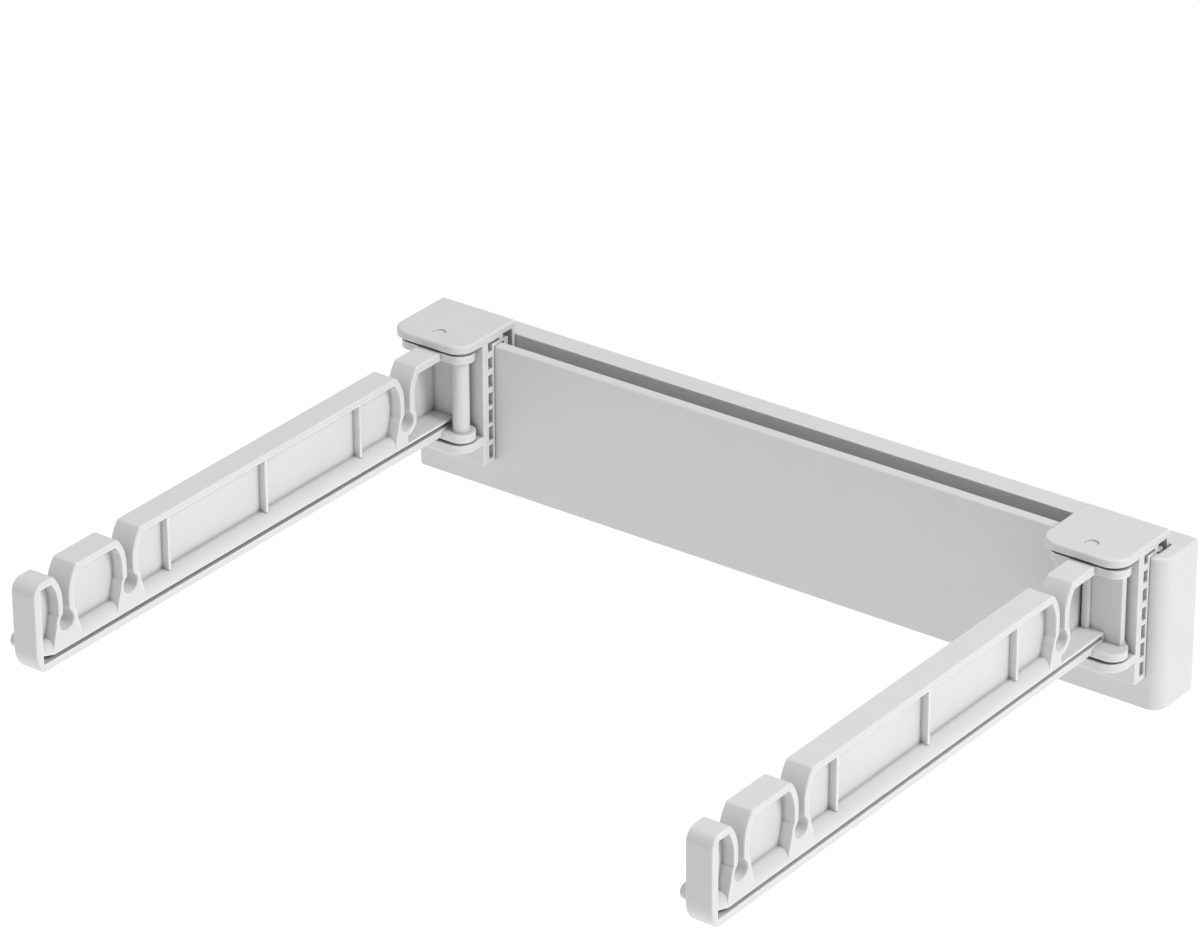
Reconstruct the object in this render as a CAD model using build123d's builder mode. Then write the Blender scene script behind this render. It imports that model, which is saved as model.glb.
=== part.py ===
"""Wall mounted drying rack: a long hollow panel on the wall carries two hooked-on brackets, and each bracket
holds one notched arm that swings sideways on a vertical pin.

Frame: X along the wall, to the right; Y into the wall, so the front is -Y; Z up. Millimetres.
Origin: on the wall plane, at the centre of the panel's length and height, which is the centre of the wall screws.
"""

import os
from math import hypot, sqrt
from build123d import *

os.makedirs("parts", exist_ok=True)

# Panel
panel_length = 545.0
panel_depth = 36.3
panel_height = 100.0
panel_corner_left = 4.5
panel_corner_right = 9.5
edge_round = 1.4
front_wall = 7.0
skin = 2.2
slot_width = 14.4
slot_left = -269.0
slot_right = 263.5
slot_floor_z = -10.0
floor_thickness = 2.5
partition = 2.5
top_thickness = 4.0
rib_pitch = 60.0
rib_thickness = 2.0

# Rail behind the panel
rail_length = 500.0
rail_plate = 2.5
rail_half_height = 30.0
hole_spacing_x = 440.0
hole_spacing_z = 36.0
hole_radius = 2.75
hook_lip_front = -9.0
hook_lip_top = 38.0
lock_screw_x = 200.0
lock_screw_y = -7.0
lock_screw_radius = 2.0

# Brackets, both the same, measured from each bracket's middle plane
bracket_left_x = -239.25
bracket_right_x = 233.86
bracket_width = 56.7
spine_front = -48.1
spine_bottom = -28.6
cell_front = -42.9
cell_back = -38.4
spine_back = -36.7
cell_levels = [(-25.8, -16.5), (-13.3, -3.8), (-1.4, 7.9), (10.6, 19.4), (23.2, 31.8), (35.5, 43.6)]
plate_bottom = 54.0
plate_top = 59.5
plate_front = -69.0
ear_bottom = -14.0
ear_top = -8.3
ear_front = -69.4
ear_corner = 12.0
leg_back = -15.2
leg_bottom = 22.0
leg_thickness = 3.0
lip_front = -26.8
lip_back = -22.8
dimple_offset = 0.5
dimple_y = -56.0
dimple_radius = 4.5
dimple_depth = 1.2

# Pivots, measured from the middle of the arm's blade
pivot_half_span = 17.0
pivot_y = -59.5
pin_radius = 2.5
pin_head_radius = 4.5
pin_head_height = 2.0
pin_top = 57.5
bush_radius = 3.6
bush_depth = 12.0
bush_flange_radius = 6.5
running_gap = 0.06
seat_gap = 0.02

# Arms
blade_width = 17.7
blade_offset = -6.25
blade_top = 52.7
blade_bottom = -4.9
tip_y = -445.8
tip_round = 8.0
tip_heel = 5.5
pocket_depth = 8.0
pocket_floor = 11.5
rim = 4.1
tip_rim = 5.4
roll_radius = 6.0
groove_bottom = 0.2
groove_top = 3.1
keyholes = [(-419.0, 20.2), (-362.7, 19.9), (-102.0, 18.8)]
keyhole_radius = 6.15
neck_half_width = 2.7
neck_top = 34.0
flare_radius = 27.0
mouth_round = 2.5
throat_round = 4.0
seat_wall = 2.7
seat_foot_spread = 4.0
edge_soft = 0.8
rib_positions = [-324.5, -234.5, -144.5]
arm_rib_thickness = 2.0
arm_rib_height = 5.0

# Arm heads
head_top = 52.7
head_bottom = -6.3
flange_radius = 9.0
flange_thickness = 5.0
head_wall_front = -56.0
head_wall_back = -51.7
head_skin = 1.8
head_floor = 4.5
barrel_radius = 5.4
stop_back = -48.3

# Bumpers
bumper_y = -437.6
bumper_z = 9.3
bumper_radius = 4.8
bumper_reach = 7.3
bumper_boss = 1.2
bumper_stem = 5.0
bumper_stem_radius = 2.5


def bar(low, high, mode=Mode.ADD):
    """A rectangle from corner to corner in the open sketch."""
    with Locations(((low[0] + high[0]) / 2, (low[1] + high[1]) / 2)):
        Rectangle(high[0] - low[0], high[1] - low[1], mode=mode)


# Panel: hollow shell, slot open at the top, room for the rail at the back, cells open at the bottom
slot_front = -panel_depth + front_wall
slot_back = slot_front + slot_width
cavity_front = slot_back + partition
half_length = panel_length / 2

with BuildPart() as panel_shell:
    with BuildSketch(Plane.XY.offset(-panel_height / 2)) as panel_plan:
        bar((-half_length, -panel_depth), (half_length, 0))
        front_corners = panel_plan.vertices().group_by(Axis.Y)[0].sort_by(Axis.X)
        fillet(front_corners[0], panel_corner_left)
        fillet(panel_plan.vertices().group_by(Axis.Y)[0].sort_by(Axis.X)[-1], panel_corner_right)
    extrude(amount=panel_height)
    outer_edges = panel_shell.edges().group_by(Axis.Z)
    fillet((outer_edges[0] + outer_edges[-1]).filter_by(lambda edge: edge.center().Y < -1), edge_round)
    # slot
    with BuildSketch(Plane.XY.offset(slot_floor_z)):
        bar((slot_left, slot_front), (slot_right, slot_back))
    extrude(amount=panel_height / 2 - slot_floor_z, mode=Mode.SUBTRACT)
    fillet(
        panel_shell.edges()
        .group_by(Axis.Z)[-1]
        .filter_by(lambda edge: slot_front - 0.1 < edge.center().Y < slot_back + 0.1)
        .filter_by(lambda edge: abs(edge.center().X) < half_length - 3),
        0.6,
    )
    # room at the back for the rail, open to the wall and below
    with BuildSketch(Plane.XY.offset(-panel_height / 2)):
        bar((-half_length + 3, cavity_front), (half_length - 3, 0))
    extrude(amount=panel_height - top_thickness, mode=Mode.SUBTRACT)
    # cells under the slot and inside the front wall, open below, parted by ribs
    rib_count = int((panel_length - 2 * panel_corner_right) // rib_pitch)
    rib_x = [(i - (rib_count - 1) / 2) * rib_pitch for i in range(rib_count)]
    cell_ends = [-half_length + 8] + rib_x + [half_length - 8]
    with BuildSketch(Plane.XY.offset(-panel_height / 2)):
        for left, right in zip(cell_ends[:-1], cell_ends[1:]):
            bar((left + rib_thickness / 2, -panel_depth + skin), (right - rib_thickness / 2, slot_back))
    extrude(amount=panel_height / 2 + slot_floor_z - floor_thickness, mode=Mode.SUBTRACT)
    with BuildSketch(Plane.XY.offset(-panel_height / 2)):
        for left, right in zip(cell_ends[:-1], cell_ends[1:]):
            bar(
                (left + rib_thickness / 2, -panel_depth + skin),
                (right - rib_thickness / 2, slot_front - skin),
            )
    extrude(amount=panel_height - top_thickness, mode=Mode.SUBTRACT)
    # ledge and down-turned lip that hang on the rail
    with BuildSketch(Plane.YZ.offset(-rail_length / 2)):
        bar((cavity_front - 0.5, hook_lip_top), (-4.5, hook_lip_top + 2.5))
        bar((-6.6, hook_lip_top - 6), (-4.5, hook_lip_top + 1))
    extrude(amount=rail_length)
    # tabs under the rail for the lock screws
    with BuildSketch(Plane.XY.offset(-rail_half_height - 3)):
        for x in (-lock_screw_x, lock_screw_x):
            bar((x - 9, cavity_front - 0.5), (x + 9, -1.5))
            with Locations((x, lock_screw_y)):
                Circle(lock_screw_radius + 0.25, mode=Mode.SUBTRACT)
    extrude(amount=3)
panel_shell.part.label = "panel_shell"
export_step(panel_shell.part, "parts/panel_shell.step")

# Rail: bent strip screwed to the wall, hook lip at the top, flange with tapped holes at the bottom
with BuildPart() as wall_rail:
    with BuildSketch(Plane.YZ.offset(-rail_length / 2 + 1)) as rail_profile:
        bar((-rail_plate, -rail_half_height), (0, rail_half_height))
        bar((hook_lip_front, rail_half_height - 2), (-rail_plate / 2, rail_half_height))
        bar((hook_lip_front, rail_half_height - 2), (hook_lip_front + 2, hook_lip_top))
        bar((-11, -rail_half_height), (-rail_plate / 2, -rail_half_height + 2))
    extrude(amount=rail_length - 2)
    with BuildSketch(Plane.XZ):
        with GridLocations(hole_spacing_x, hole_spacing_z, 2, 2):
            Circle(hole_radius)
    extrude(amount=rail_plate, mode=Mode.SUBTRACT)
    with BuildSketch(Plane.XY.offset(-rail_half_height)):
        with Locations((-lock_screw_x, lock_screw_y), (lock_screw_x, lock_screw_y)):
            Circle(lock_screw_radius + seat_gap)
    extrude(amount=2, mode=Mode.SUBTRACT)
wall_rail.part.label = "wall_rail"
export_step(wall_rail.part, "parts/wall_rail.step")

# Lock screws: pan heads under the tabs, shanks up through the rail's flange
with BuildPart() as lock_screws:
    tab_bottom = -rail_half_height - 3
    for x in (-lock_screw_x, lock_screw_x):
        with BuildSketch(Plane.XZ.offset(-lock_screw_y)):
            with BuildLine():
                Polyline(
                    (x, tab_bottom - 2.4),
                    (x + 2.6, tab_bottom - 2.4),
                    (x + 3.6, tab_bottom - 1.4),
                    (x + 3.6, tab_bottom),
                    (x + lock_screw_radius, tab_bottom),
                    (x + lock_screw_radius, tab_bottom + 9),
                    (x + lock_screw_radius - 0.8, tab_bottom + 10),
                    (x, tab_bottom + 10),
                    close=True,
                )
            make_face()
        revolve(axis=Axis((x, lock_screw_y, 0), (0, 0, 1)))
    with BuildSketch(Plane.XY.offset(tab_bottom - 2.4)):
        for x in (-lock_screw_x, lock_screw_x):
            with Locations((x, lock_screw_y)):
                Rectangle(4.2, 0.9)
                Rectangle(0.9, 4.2)
    extrude(amount=1.3, mode=Mode.SUBTRACT)
lock_screws.part.label = "lock_screws"
export_step(lock_screws.part, "parts/lock_screws.step")


def bracket(middle):
    """Hooked bracket: extruded ladder profile with two ears and two pairs of pivot holes."""
    left = middle - bracket_width / 2
    right = middle + bracket_width / 2
    with BuildPart() as body:
        # profile along the panel: ladder on the front, top over the panel, hook in the slot
        with BuildSketch(Plane.YZ.offset(left)):
            bar((spine_front, spine_bottom), (spine_back, plate_top))
            bar((spine_front, panel_height / 2), (leg_back, plate_top))
            bar((lip_front, leg_bottom), (lip_back, plate_bottom))
            bar((leg_back - leg_thickness, leg_bottom), (leg_back, plate_top))
            bar((lip_front, leg_bottom), (leg_back, leg_bottom + 2.5))
        extrude(amount=bracket_width)
        # ears
        with BuildSketch(Plane.XY.offset(plate_bottom)) as plate_plan:
            bar((left, plate_front), (right, spine_front + 2))
            fillet(plate_plan.vertices().group_by(Axis.Y)[0], ear_corner)
        extrude(amount=plate_top - plate_bottom)
        with BuildSketch(Plane.XY.offset(ear_bottom)) as ear_plan:
            bar((left, ear_front), (right, spine_front + 2))
            fillet(ear_plan.vertices().group_by(Axis.Y)[0], ear_corner)
        extrude(amount=ear_top - ear_bottom)
        rims = body.edges().filter_by(lambda edge: edge.center().Y < spine_front - 1)
        fillet(rims.group_by(Axis.Z)[-1], 1.6)
        rims = body.edges().filter_by(lambda edge: edge.center().Y < spine_front - 1)
        low = [edge for edge in rims if abs(edge.center().Z - plate_bottom) < 0.01]
        low += [edge for edge in rims if abs(edge.center().Z - ear_top) < 0.01]
        low += [edge for edge in rims if abs(edge.center().Z - ear_bottom) < 0.01]
        fillet(low, 0.7)
        # cells right through the width
        with BuildSketch(Plane.YZ.offset(left)) as cells:
            for bottom, top in cell_levels:
                bar((cell_front, bottom), (cell_back, top))
            bar((cell_front, 47.4), (cell_back, plate_bottom))
            bar((cell_front, 51.9), (-31.0, plate_bottom))
            bar((-28.0, 51.5), (leg_back - leg_thickness, 55.0))
            bar((lip_back, leg_bottom + 2.5), (leg_back - leg_thickness, 53.0))
            fillet(cells.vertices(), 0.6)
        extrude(amount=bracket_width, mode=Mode.SUBTRACT)
        # shallow dimple in the top plate
        with BuildSketch(Plane.XY.offset(plate_top)):
            with Locations((middle + dimple_offset, dimple_y)):
                Circle(dimple_radius)
        extrude(amount=-dimple_depth, mode=Mode.SUBTRACT)
        fillet(body.edges().filter_by(GeomType.CIRCLE).group_by(Axis.Z)[-1], 0.5)
        # pivot holes: through the lower ear, blind in the plate
        blade_middle = middle + blade_offset + blade_width / 2
        with BuildSketch(Plane.XY.offset(ear_bottom)):
            with Locations((blade_middle - pivot_half_span, pivot_y), (blade_middle + pivot_half_span, pivot_y)):
                Circle(pin_radius + seat_gap)
        extrude(amount=pin_top - ear_bottom, mode=Mode.SUBTRACT)
    return body.part


bracket_left = bracket(bracket_left_x)
bracket_left.label = "bracket_left"
export_step(bracket_left, "parts/bracket_left.step")
bracket_right = bracket(bracket_right_x)
bracket_right.label = "bracket_right"
export_step(bracket_right, "parts/bracket_right.step")


def flare(z, grow):
    """Half width of a notch at height z above the neck, its outline moved outwards by grow."""
    radius = flare_radius - grow
    return neck_half_width + grow + radius - sqrt(radius**2 - (z - neck_top) ** 2)


def notch(y, z, top, grow):
    """Cut a keyhole notch, open at the top, out of the open sketch, its outline moved outwards by grow."""
    half = neck_half_width + grow
    halfway = (neck_top + top) / 2
    for hand in (-1, 1):
        with BuildLine() as side_line:
            Polyline((y + hand * flare(top, grow), top), (y, top), (y, z), (y + hand * half, z), (y + hand * half, neck_top))
            ThreePointArc(
                (y + hand * half, neck_top),
                (y + hand * flare(halfway, grow), halfway),
                (y + hand * flare(top, grow), top),
            )
        make_face(side_line.edges(), mode=Mode.SUBTRACT)
    with Locations((y, z)):
        Circle(keyhole_radius + min(grow, seat_wall), mode=Mode.SUBTRACT)


def arm(middle, inner):
    """Notched blade with a T-shaped head; inner is +1 or -1, the side of the blade where the barrel is."""
    face = middle + blade_offset
    blade_middle = face + blade_width / 2
    pivot_x = blade_middle + inner * pivot_half_span
    outer_x = blade_middle - inner * pivot_half_span
    with BuildPart() as body:
        # blade outline: four blocks on one bottom band, keyholes between them
        with BuildSketch(Plane.YZ.offset(face)) as outline:
            with BuildLine():
                Line((head_wall_front + 1, blade_bottom), (tip_y + tip_heel, blade_bottom))
                ThreePointArc((tip_y + tip_heel, blade_bottom), (tip_y + 1.3, 1.6), (tip_y, 9.0))
                Line((tip_y, 9.0), (tip_y, blade_top - tip_round))
                RadiusArc((tip_y, blade_top - tip_round), (tip_y + tip_round, blade_top), tip_round)
                Line((tip_y + tip_round, blade_top), (head_wall_front + 1, blade_top))
                Line((head_wall_front + 1, blade_top), (head_wall_front + 1, blade_bottom))
            make_face()
            for y, z in keyholes:
                notch(y, z, blade_top, 0)
            mouths = outline.vertices().filter_by(
                lambda v: v.Y > blade_top - 0.1 and tip_y + tip_round + 1 < v.X < head_wall_front - 1
            )
            fillet(mouths, mouth_round)
            throats = outline.vertices().filter_by(
                lambda v: any(abs(hypot(v.X - y, v.Y - z) - keyhole_radius) < 0.01 and v.Y > z for y, z in keyholes)
            )
            fillet(throats, throat_round)
        extrude(amount=blade_width)
        sides = body.edges().filter_by(lambda e: abs(e.center().X - face) < 0.01)
        sides += body.edges().filter_by(lambda e: abs(e.center().X - face - blade_width) < 0.01)
        fillet(sides.filter_by(lambda e: e.center().Y < head_wall_front - 1), edge_soft)
        # pockets from both sides, leaving a middle web; the first cut leaves the ribs, the second lowers them
        fronts = [tip_y + tip_rim] + [y for y, z in keyholes[:-1]]
        backs = [y for y, z in keyholes]
        for hand, start in ((1, face), (-1, face + blade_width)):
            for depth, with_ribs in ((pocket_depth, True), (pocket_depth - arm_rib_height, False)):
                with BuildSketch(Plane.YZ.offset(start)) as pockets:
                    for front, back in zip(fronts, backs):
                        bar((front, pocket_floor), (back, blade_top - rim))
                    for y, z in keyholes:
                        notch(y, z, blade_top - rim, rim)
                    if with_ribs:
                        for y in rib_positions:
                            bar((y - arm_rib_thickness / 2, 0), (y + arm_rib_thickness / 2, blade_top), Mode.SUBTRACT)
                    if hand > 0:
                        with Locations((bumper_y, bumper_z)):
                            Circle(bumper_radius + bumper_boss, mode=Mode.SUBTRACT)
                extrude(amount=hand * depth, mode=Mode.SUBTRACT)
            # rounded shoulder between the pocket floors and the face
            with BuildSketch(Plane.XZ.offset(-keyholes[-1][0])):
                with BuildLine():
                    Polyline(
                        (start + hand * roll_radius, pocket_floor),
                        (start - hand, pocket_floor),
                        (start - hand, pocket_floor - roll_radius),
                        (start, pocket_floor - roll_radius),
                    )
                    CenterArc(
                        (start + hand * roll_radius, pocket_floor - roll_radius),
                        roll_radius,
                        90,
                        90 * hand,
                    )
                make_face()
            extrude(amount=keyholes[-1][0] - tip_y - tip_rim, mode=Mode.SUBTRACT)
            # narrow groove along the foot
            with BuildSketch(Plane.YZ.offset(start)):
                with BuildLine():
                    Polyline(
                        (tip_y + tip_rim, groove_bottom),
                        (head_wall_front - 2, groove_bottom),
                        (head_wall_front - 2, groove_top),
                        (tip_y + 15, groove_top),
                        (tip_y + tip_rim, groove_top + 3),
                        close=True,
                    )
                make_face()
                if hand > 0:
                    with Locations((bumper_y, bumper_z)):
                        Circle(bumper_radius + bumper_boss, mode=Mode.SUBTRACT)
            extrude(amount=hand * pocket_depth, mode=Mode.SUBTRACT)
        # spreading feet under the keyholes, full width
        foot_bottom = pocket_floor - roll_radius
        seat_radius = keyhole_radius + seat_wall
        with BuildSketch(Plane.YZ.offset(face)):
            for y, z in keyholes:
                with BuildLine():
                    Polyline(
                        (y - seat_radius, z),
                        (y - seat_radius - seat_foot_spread, foot_bottom),
                        (y + seat_radius + seat_foot_spread, foot_bottom),
                        (y + seat_radius, z),
                        close=True,
                    )
                make_face()
                with Locations((y, z)):
                    Circle(keyhole_radius + 1, mode=Mode.SUBTRACT)
        extrude(amount=blade_width)
        # boss and blind hole for the bumper's stem
        with BuildSketch(Plane.YZ.offset(face)):
            with Locations((bumper_y, bumper_z)):
                Circle(bumper_radius + bumper_boss)
        extrude(amount=pocket_depth)
        with BuildSketch(Plane.YZ.offset(face)):
            with Locations((bumper_y, bumper_z)):
                Circle(bumper_stem_radius + seat_gap)
        extrude(amount=bumper_stem, mode=Mode.SUBTRACT)
        # head: two flanges, back wall, barrel
        for bottom in (head_bottom, head_top - flange_thickness):
            with BuildSketch(Plane.XY.offset(bottom)):
                with Locations((blade_middle, pivot_y)):
                    SlotCenterToCenter(2 * pivot_half_span, 2 * flange_radius)
                if bottom < 0:
                    bar((outer_x - 2, head_wall_back - 2), (outer_x + 2, stop_back))
            extrude(amount=flange_thickness)
        with BuildSketch(Plane.XY.offset(head_bottom + 1)):
            with Locations((pivot_x, pivot_y)):
                Circle(barrel_radius)
            bar(
                (min(pivot_x, outer_x - 3 * inner), head_wall_front),
                (max(pivot_x, outer_x - 3 * inner), head_wall_back),
            )
        extrude(amount=head_top - head_bottom - 2)
        # deep cell behind the last keyhole, open towards +X
        with BuildSketch(Plane.YZ.offset(face + head_skin)) as cell:
            bar((keyholes[-1][0], head_floor), (head_wall_front, head_top - flange_thickness))
            for y, z in keyholes[-1:]:
                notch(y, z, head_top - flange_thickness, rim)
        extrude(amount=blade_width, mode=Mode.SUBTRACT)
        if inner < 0:
            with BuildSketch(Plane.XY.offset(head_floor)) as post:
                bar((face + 2.7, head_wall_front - 2.8), (face + 8.1, head_wall_front + 1))
                fillet(post.vertices().group_by(Axis.Y)[0], 1.8)
            extrude(amount=head_top - flange_thickness - head_floor)
        # bores for the pin and its two bushes
        with BuildSketch(Plane.XY.offset(head_bottom)):
            with Locations((pivot_x, pivot_y)):
                Circle(pin_radius + 0.4)
        extrude(amount=head_top - head_bottom, mode=Mode.SUBTRACT)
        for bottom in (head_bottom, head_top - bush_depth):
            with BuildSketch(Plane.XY.offset(bottom)):
                with Locations((pivot_x, pivot_y)):
                    Circle(bush_radius + seat_gap)
            extrude(amount=bush_depth, mode=Mode.SUBTRACT)
    return body.part


arm_left = arm(bracket_left_x, 1)
arm_left.label = "arm_left"
export_step(arm_left, "parts/arm_left.step")
arm_right = arm(bracket_right_x, -1)
arm_right.label = "arm_right"
export_step(arm_right, "parts/arm_right.step")


def hinge_pin(x):
    """Headed steel pin, pushed up from below into the blind hole of the top plate."""
    with BuildPart() as body:
        with BuildSketch(Plane.XZ.offset(-pivot_y)):
            with BuildLine():
                Polyline(
                    (x, ear_bottom - pin_head_height),
                    (x + pin_head_radius - 0.8, ear_bottom - pin_head_height),
                    (x + pin_head_radius, ear_bottom - pin_head_height + 0.8),
                    (x + pin_head_radius, ear_bottom),
                    (x + pin_radius, ear_bottom),
                    (x + pin_radius, pin_top - 1),
                    (x + pin_radius - 0.8, pin_top - 0.1),
                    (x, pin_top - 0.1),
                    close=True,
                )
            make_face()
        revolve(axis=Axis((x, pivot_y, 0), (0, 0, 1)))
    return body.part


def bush(x, seat, flange, direction):
    """Flanged bush: sleeve inside the arm from its seat level, flange of the given thickness outside it."""
    with BuildPart() as body:
        with BuildSketch(Plane.XY.offset(seat)):
            with Locations((x, pivot_y)):
                Circle(bush_radius)
                Circle(pin_radius + running_gap, mode=Mode.SUBTRACT)
        extrude(amount=-direction * bush_depth)
        with BuildSketch(Plane.XY.offset(seat)):
            with Locations((x, pivot_y)):
                Circle(bush_flange_radius)
                Circle(pin_radius + running_gap, mode=Mode.SUBTRACT)
        extrude(amount=direction * flange)
    return body.part


def bumper(middle):
    """Soft round nub with a stem, pushed into the low outer side of the tip."""
    face = middle + blade_offset
    with BuildPart() as body:
        with BuildSketch(Plane.XY.offset(bumper_z)):
            with BuildLine():
                Line((face + bumper_stem - 0.2, bumper_y), (face + bumper_stem - 0.2, bumper_y + bumper_stem_radius))
                Line((face + bumper_stem - 0.2, bumper_y + bumper_stem_radius), (face, bumper_y + bumper_stem_radius))
                Line((face, bumper_y + bumper_stem_radius), (face, bumper_y + bumper_radius))
                Line((face, bumper_y + bumper_radius), (face - bumper_reach + 2, bumper_y + bumper_radius))
                ThreePointArc(
                    (face - bumper_reach + 2, bumper_y + bumper_radius),
                    (face - bumper_reach + 0.5, bumper_y + bumper_radius - 1.2),
                    (face - bumper_reach, bumper_y + bumper_radius - 3),
                )
                Line((face - bumper_reach, bumper_y + bumper_radius - 3), (face - bumper_reach, bumper_y))
                Line((face - bumper_reach, bumper_y), (face + bumper_stem - 0.2, bumper_y))
            make_face()
        revolve(axis=Axis((0, bumper_y, bumper_z), (1, 0, 0)))
    return body.part


for side, middle, inner in (("left", bracket_left_x, 1), ("right", bracket_right_x, -1)):
    pivot_x = middle + blade_offset + blade_width / 2 + inner * pivot_half_span
    pieces = {
        "hinge_pin_" + side: hinge_pin(pivot_x),
        "bush_upper_" + side: bush(pivot_x, head_top, plate_bottom - head_top - 0.1, 1),
        "bush_lower_" + side: bush(pivot_x, head_bottom, head_bottom - ear_top - 0.02, -1),
        "bumper_" + side: bumper(middle),
    }
    for name, piece in pieces.items():
        piece.label = name
        export_step(piece, "parts/" + name + ".step")
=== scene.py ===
"""Looks for the wall mounted drying rack: moulded white plastic, steel pins, studio light.

Metres; the wall plane is y = 0 and the arms point to -Y.
"""

import math

import bpy
from mathutils import Matrix, Vector

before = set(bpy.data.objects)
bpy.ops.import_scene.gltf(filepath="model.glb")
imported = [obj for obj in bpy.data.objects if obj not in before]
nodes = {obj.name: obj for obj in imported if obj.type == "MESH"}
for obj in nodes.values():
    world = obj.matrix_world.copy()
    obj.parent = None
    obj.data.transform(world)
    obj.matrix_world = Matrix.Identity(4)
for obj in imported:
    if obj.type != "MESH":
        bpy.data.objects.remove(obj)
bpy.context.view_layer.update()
scene = bpy.context.scene

# Reach of the bevelled edges, the painted edge highlights and the painted shade in recesses
plastic_edge = 0.0006
metal_edge = 0.0004
rubber_edge = 0.0005
edge_highlight_depth = 0.0015
recess_depth = 0.005
recess_shade_tone = 0.42
metal_edge_gain = 1.2

# Studio: the floor is far enough down that the rack's shadow stays soft
floor_half_width = 14.0
floor_height = -1.3
floor_glow = 0.5
sky_strength = 0.42
lamp_target = (0.0, -0.2, 0.0)

# Camera: in front to the right, 27 degrees above the horizon
azimuth = math.radians(36.475)
elevation = math.radians(27.025)
roll = math.radians(-0.18)
camera_place = (1.79669, -2.64291, 1.64550)
focal_length = 177.98
sensor_width = 36.0


class Nodes:
    """A material's node tree with short ways to add and join nodes."""

    def __init__(self, name):
        self.material = bpy.data.materials.new(name)
        self.material.use_nodes = True
        self.tree = self.material.node_tree
        self.shader = self.tree.nodes["Principled BSDF"]
        self.place = self.add("ShaderNodeTexCoord").outputs["Object"]

    def add(self, kind, **values):
        node = self.tree.nodes.new(kind)
        for key, value in values.items():
            if key in node.inputs:
                node.inputs[key].default_value = value
            else:
                setattr(node, key, value)
        return node

    def join(self, source, target):
        self.tree.links.new(source, target)

    def noise(self, scale, detail=3.0, rough=0.5, place=None):
        node = self.add("ShaderNodeTexNoise", Scale=scale, Detail=detail, Roughness=rough)
        self.join(place or self.place, node.inputs["Vector"])
        return node.outputs["Fac"]

    def stretch(self, x, y, z):
        node = self.add("ShaderNodeMapping")
        node.inputs["Scale"].default_value = (x, y, z)
        self.join(self.place, node.inputs["Vector"])
        return node.outputs["Vector"]

    def span(self, value, from_low, from_high, to_low, to_high):
        node = self.add("ShaderNodeMapRange")
        for index, number in enumerate((from_low, from_high, to_low, to_high), start=1):
            node.inputs[index].default_value = number
        self.join(value, node.inputs[0])
        return node.outputs[0]

    def math(self, operation, a, b):
        node = self.add("ShaderNodeMath", operation=operation)
        for index, value in enumerate((a, b)):
            if isinstance(value, float):
                node.inputs[index].default_value = value
            else:
                self.join(value, node.inputs[index])
        return node.outputs[0]

    def blend(self, factor, a, b):
        node = self.add("ShaderNodeMix", data_type="RGBA")
        self.join(factor, node.inputs[0])
        for index, value in ((6, a), (7, b)):
            if isinstance(value, tuple):
                node.inputs[index].default_value = (*value, 1.0)
            else:
                self.join(value, node.inputs[index])
        return node.outputs[2]

    def bump(self, height, strength, distance, under=None):
        node = self.add("ShaderNodeBump", Strength=strength, Distance=distance)
        self.join(height, node.inputs["Height"])
        if under is not None:
            self.join(under, node.inputs["Normal"])
        return node.outputs["Normal"]

    def edges(self, radius):
        """How far the surface turns at an edge, from 0 on flat areas to 1, and the rounded normal."""
        bevel = self.add("ShaderNodeBevel", samples=4, Radius=radius)
        flat = self.add("ShaderNodeNewGeometry")
        dot = self.add("ShaderNodeVectorMath", operation="DOT_PRODUCT")
        self.join(bevel.outputs[0], dot.inputs[0])
        self.join(flat.outputs["Normal"], dot.inputs[1])
        return self.span(dot.outputs["Value"], 1.0, 0.86, 0.0, 1.0), bevel.outputs[0]

    def recess_shade(self, distance):
        """Mask for painted shade: 1 deep in grooves and inner corners, 0 on open surfaces."""
        shade = self.add("ShaderNodeAmbientOcclusion", samples=6, Distance=distance)
        return self.span(shade.outputs["AO"], 0.3, 0.75, 1.0, 0.0)

    def corners(self, distance):
        """Mask for painted edge highlights: 1 on outer edges and their roundings, 0 where the wall behind
        is thicker than the distance.
        """
        shade = self.add("ShaderNodeAmbientOcclusion", samples=6, inside=True, only_local=True)
        shade.inputs["Distance"].default_value = distance
        return self.span(shade.outputs["AO"], 0.5, 0.88, 1.0, 0.0)


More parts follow.
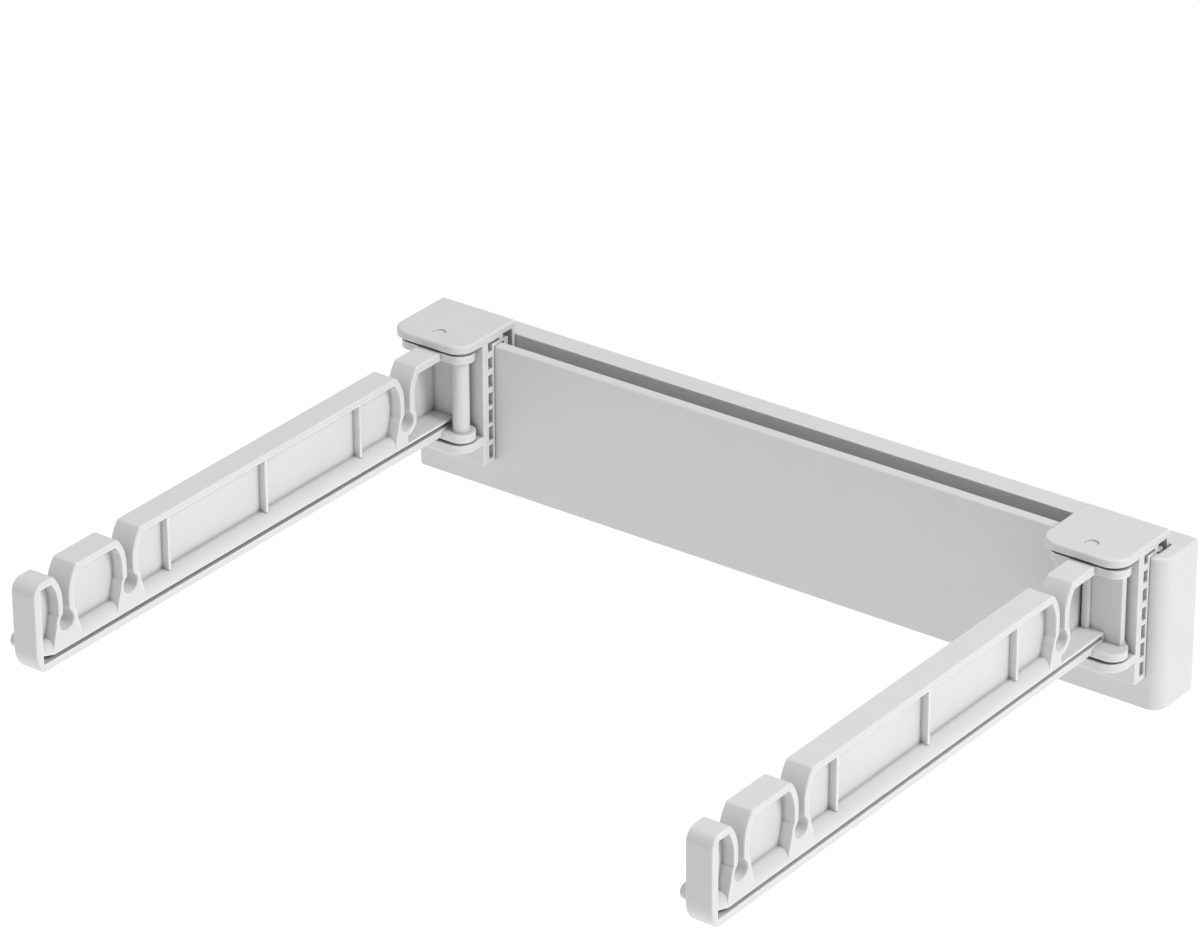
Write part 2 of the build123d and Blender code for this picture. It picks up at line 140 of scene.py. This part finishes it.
def moulded(name, tone, edge_highlight_tone, dust_and_shade_tone, roughness):
    """Injection-moulded plastic: spark texture, slow flow marks, painted highlights on the edges, painted
    shade in recesses.
    """
    n = Nodes(name)
    flow = n.noise(scale=9.0, detail=2.0, rough=0.45, place=n.stretch(1.0, 0.35, 1.6))
    grain = n.noise(scale=1900.0, detail=2.0, rough=0.6)
    cloud = n.noise(scale=38.0, detail=4.0, rough=0.6)
    _, rounded = n.edges(plastic_edge)
    edge_highlight = n.corners(edge_highlight_depth)
    # Painted shade: grooves and inner corners are darkened towards a darker copy of the dust tone
    recess_shade = n.recess_shade(recess_depth)
    clean = n.blend(n.span(cloud, 0.35, 0.72, 0.0, 0.55), tone, dust_and_shade_tone)
    base = n.blend(n.math("MULTIPLY", recess_shade, 0.85), clean, tuple(c * recess_shade_tone for c in dust_and_shade_tone))
    open_edge = n.math("MULTIPLY", edge_highlight, n.math("SUBTRACT", 1.0, recess_shade))
    # Painted highlight: open outer edges are lightened towards the edge highlight tone, in patches
    patchy_edge_highlight = n.math("MULTIPLY", open_edge, n.span(n.noise(120.0, 3.0), 0.35, 0.6, 0.5, 1.0))
    n.join(n.blend(patchy_edge_highlight, base, edge_highlight_tone), n.shader.inputs["Base Color"])
    slow = n.span(flow, 0.3, 0.7, roughness - 0.05, roughness + 0.06)
    rough = n.math("ADD", slow, n.span(grain, 0.3, 0.7, -0.02, 0.02))
    n.join(n.math("SUBTRACT", rough, n.math("MULTIPLY", patchy_edge_highlight, 0.1)), n.shader.inputs["Roughness"])
    fine = n.bump(grain, strength=0.12, distance=0.00004, under=rounded)
    n.join(n.bump(flow, strength=0.1, distance=0.0004, under=fine), n.shader.inputs["Normal"])
    n.shader.inputs["IOR"].default_value = 1.5
    return n.material


def metal(name, tone, dark_tone, roughness, stretch, scale):
    """Drawn or rolled metal: fine lines along the way it was worked, painted highlights on the edges."""
    n = Nodes(name)
    lines = n.noise(scale, detail=4.0, rough=0.65, place=n.stretch(*stretch))
    stains = n.noise(scale=60.0, detail=4.0, rough=0.6)
    edge_highlight, rounded = n.edges(metal_edge)
    base = n.blend(n.span(stains, 0.4, 0.75, 0.0, 0.6), tone, dark_tone)
    # Painted highlight: a brighter copy of the tone on the edges
    bright = tuple(min(1.0, c * metal_edge_gain) for c in tone)
    n.join(n.blend(edge_highlight, base, bright), n.shader.inputs["Base Color"])
    n.join(n.span(lines, 0.25, 0.75, roughness - 0.08, roughness + 0.12), n.shader.inputs["Roughness"])
    n.join(n.bump(lines, strength=0.25, distance=0.00003, under=rounded), n.shader.inputs["Normal"])
    n.shader.inputs["Metallic"].default_value = 1.0
    return n.material


def rubber(name, tone, dark_tone):
    """Soft elastomer: matt, slightly mottled, with a faint sheen."""
    n = Nodes(name)
    mottle = n.noise(scale=240.0, detail=4.0, rough=0.6)
    grain = n.noise(scale=2600.0, detail=2.0, rough=0.6)
    edge_highlight, rounded = n.edges(rubber_edge)
    base = n.blend(n.span(mottle, 0.35, 0.7, 0.0, 1.0), tone, dark_tone)
    # Painted highlight: the edges are lightened towards the lighter tone
    n.join(n.blend(n.math("MULTIPLY", edge_highlight, 0.5), base, tone), n.shader.inputs["Base Color"])
    n.join(n.span(mottle, 0.3, 0.7, 0.62, 0.78), n.shader.inputs["Roughness"])
    n.join(n.bump(grain, strength=0.2, distance=0.00005, under=rounded), n.shader.inputs["Normal"])
    n.shader.inputs["Sheen Weight"].default_value = 0.15
    return n.material


panel_white = moulded("panel_white", (0.72, 0.72, 0.715), (0.95, 0.95, 0.945), (0.69, 0.69, 0.68), 0.42)
arm_white = moulded("arm_white", (0.73, 0.73, 0.725), (0.97, 0.97, 0.965), (0.70, 0.70, 0.69), 0.38)
bracket_white = moulded(
    "bracket_white", (0.725, 0.725, 0.72), (0.97, 0.97, 0.965), (0.695, 0.695, 0.685), 0.36
)
bush_plastic = moulded("bush_plastic", (0.62, 0.62, 0.59), (0.7, 0.7, 0.68), (0.56, 0.555, 0.53), 0.5)
bumper_rubber = rubber("bumper_rubber", (0.74, 0.74, 0.73), (0.66, 0.66, 0.65))
pin_steel = metal("pin_steel", (0.62, 0.62, 0.63), (0.5, 0.5, 0.5), 0.3, (1.0, 1.0, 14.0), 400.0)
screw_steel = metal("screw_steel", (0.6, 0.6, 0.61), (0.46, 0.46, 0.45), 0.34, (1.0, 1.0, 1.0), 500.0)
rail_metal = metal("rail_metal", (0.58, 0.59, 0.6), (0.46, 0.47, 0.48), 0.42, (0.05, 1.0, 1.0), 900.0)

finishes = {"panel_shell": panel_white, "wall_rail": rail_metal, "lock_screws": screw_steel}
for side in ("left", "right"):
    finishes["bracket_" + side] = bracket_white
    finishes["arm_" + side] = arm_white
    finishes["hinge_pin_" + side] = pin_steel
    finishes["bush_upper_" + side] = bush_plastic
    finishes["bush_lower_" + side] = bush_plastic
    finishes["bumper_" + side] = bumper_rubber
for name, node in nodes.items():
    node.data.materials.clear()
    node.data.materials.append(finishes[name])


def floor(size, height):
    """Pale paper that glows a little, so that the ground stays white far from the lamps."""
    mesh = bpy.data.meshes.new("studio_floor")
    corners = [(-size, -size, height), (size, -size, height), (size, size, height), (-size, size, height)]
    mesh.from_pydata(corners, [], [(0, 1, 2, 3)])
    ground = bpy.data.objects.new("studio_floor", mesh)
    scene.collection.objects.link(ground)
    n = Nodes("floor_paper")
    n.join(n.blend(n.noise(3.0), (0.95, 0.95, 0.95), (0.965, 0.965, 0.965)), n.shader.inputs["Base Color"])
    n.join(n.bump(n.noise(350.0), strength=0.05, distance=0.0005), n.shader.inputs["Normal"])
    n.shader.inputs["Roughness"].default_value = 0.9
    n.shader.inputs["Emission Color"].default_value = (1.0, 1.0, 1.0, 1.0)
    n.shader.inputs["Emission Strength"].default_value = floor_glow
    mesh.materials.append(n.material)


floor(floor_half_width, floor_height)


def lamp(name, place, size, watts):
    """A round area lamp aimed at the rack."""
    data = bpy.data.lights.new(name, "AREA")
    data.shape = "DISK"
    data.size = size
    data.energy = watts
    light = bpy.data.objects.new(name, data)
    light.location = place
    light.rotation_euler = (Vector(lamp_target) - Vector(place)).to_track_quat("-Z", "Y").to_euler()
    scene.collection.objects.link(light)


# The key lights the tops and the right-hand faces and leaves the fronts darker
lamp("key", (2.9, 0.1, 2.6), size=1.2, watts=72.0)
lamp("top", (-0.4, -0.2, 3.2), size=1.6, watts=26.0)

world = bpy.data.worlds.new("studio")
scene.world = world
world.use_nodes = True
world.node_tree.nodes["Background"].inputs["Color"].default_value = (1.0, 1.0, 1.0, 1.0)
world.node_tree.nodes["Background"].inputs["Strength"].default_value = sky_strength
scene.view_settings.view_transform = "Standard"

view = bpy.data.cameras.new("view")
view.sensor_width = sensor_width
view.lens = focal_length
view.clip_end = 60.0
camera = bpy.data.objects.new("view", view)
back = Vector(
    (math.sin(azimuth) * math.cos(elevation), -math.cos(azimuth) * math.cos(elevation), math.sin(elevation))
)
right = Vector((math.cos(azimuth), math.sin(azimuth), 0.0))
up = back.cross(right)
turned_right = math.cos(roll) * right + math.sin(roll) * up
turned_up = back.cross(turned_right)
turn = Matrix((turned_right, turned_up, back)).transposed().to_4x4()
camera.matrix_world = Matrix.Translation(camera_place) @ turn
scene.collection.objects.link(camera)
scene.camera = camera
